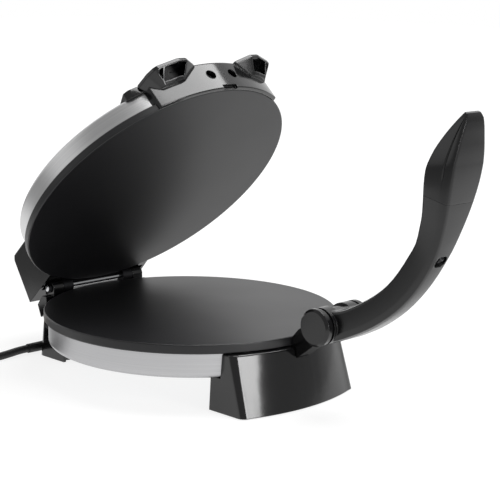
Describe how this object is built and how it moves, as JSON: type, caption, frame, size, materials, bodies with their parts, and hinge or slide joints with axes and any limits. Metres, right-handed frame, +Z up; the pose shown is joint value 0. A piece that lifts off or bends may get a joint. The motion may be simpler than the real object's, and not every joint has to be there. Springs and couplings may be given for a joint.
{
  "type": "electric roti maker",
  "caption": "Countertop flatbread press: round heated plates, a hinged lid with thermostat housing, and a curved pressing lever on a front pivot.",
  "frame": {"origin": "on the table, under the middle of the box of the open appliance without its cord", "axes": "+X to the user's right when facing the front, +Y to the rear (hinge side), +Z up"},
  "size_m": [0.3131, 0.5402, 0.2767],
  "materials": {
    "base_band": "satin brushed stainless",
    "lid_band": "bright brushed stainless",
    "cover_sheet": "plain zinc coated sheet",
    "plate_coat": "cast, dark non-stick coating",
    "element_sheath": "heat tinted sheath",
    "reflector_sheet": "bright aluminised sheet",
    "zinc_steel": "zinc plated",
    "black_screw": "black oxide",
    "black_moulding": "glossy heat resistant plastic",
    "lever_moulding": "glossy plastic, softly worn",
    "panel_moulding": "satin dark grey",
    "knob_moulding": "glossy",
    "cap_moulding": "silver coated plastic",
    "pad_rubber": "matt",
    "pin_steel": "polished pin",
    "bracket_moulding": "satin black",
    "bush_brass": "turned",
    "cord_rubber": "satin black sheath",
    "plug_moulding": "moulded, satin black",
    "terminal_moulding": "ivory insulator",
    "thermostat_body": "ceramic and brass switch body",
    "cutout_body": "ceramic",
    "board_laminate": "laminate board",
    "lamp_glass": "small neon lamps",
    "green_plastic": "translucent green",
    "red_plastic": "translucent red"
  },
  "bodies": {
    "base": {"base_pan": "base_band", "bottom_cover": "cover_sheet", "bottom_screws": "zinc_steel", "lower_plate": "plate_coat", "lower_element": "element_sheath", "lower_reflector": "reflector_sheet", "lower_studs": "zinc_steel", "front_foot": "black_moulding", "rear_foot": "black_moulding", "foot_pads": "pad_rubber", "foot_screws": "zinc_steel", "hinge_pin": "pin_steel", "hinge_clips": "zinc_steel", "pivot_bracket": "bracket_moulding", "pivot_bolt": "pin_steel", "pivot_caps": "lever_moulding", "pivot_washers": "black_moulding", "terminal_block": "terminal_moulding", "strain_relief": "cord_rubber", "cord_lead": "cord_rubber", "cord_coil": "cord_rubber", "cord_tail": "cord_rubber", "plug_body": "plug_moulding", "plug_blades": "bush_brass", "plug_earth_pin": "bush_brass"},
    "lid": {"lid_cover": "lid_band", "upper_plate": "plate_coat", "upper_element": "element_sheath", "upper_reflector": "reflector_sheet", "upper_studs": "zinc_steel", "lid_front_cover": "black_moulding", "front_cover_screws": "black_screw", "control_housing": "black_moulding", "housing_screws": "zinc_steel", "control_panel": "panel_moulding", "lid_hinge_bracket": "zinc_steel", "hinge_screws": "zinc_steel", "thermostat": "thermostat_body", "thermostat_nut": "bush_brass", "indicator_lamps": "lamp_glass", "lamp_board": "board_laminate", "green_lens": "green_plastic", "red_lens": "red_plastic", "thermal_cutout": "cutout_body"},
    "knob": {"thermostat_shaft": "zinc_steel", "knob_skirt": "knob_moulding", "knob_cap": "cap_moulding"},
    "arm": {"arm_lower": "lever_moulding", "arm_grip": "lever_moulding", "arm_bushes": "bush_brass", "arm_screw": "black_screw"}
  },
  "joints": [
    {"name": "lid_hinge", "type": "hinge", "parent": "base", "child": "lid", "pos_m": [0, 0.18908, 0.0601], "axis": [1, 0, 0], "range_deg": [0, 47.24]},
    {"name": "arm_swing", "type": "hinge", "parent": "base", "child": "arm", "pos_m": [0, -0.10832, 0.0755], "axis": [-1, 0, 0], "range_deg": [0, 100.01]},
    {"name": "knob_turn", "type": "hinge", "parent": "lid", "child": "knob", "pos_m": [0, 0.20304, 0.1185], "axis": [0, -0.7342, -0.6789], "range_deg": [0, 270]}
  ],
  "couplings": [
    {"joint": "arm_swing", "follows": "lid_hinge", "ratio": 2.1169}
  ]
}
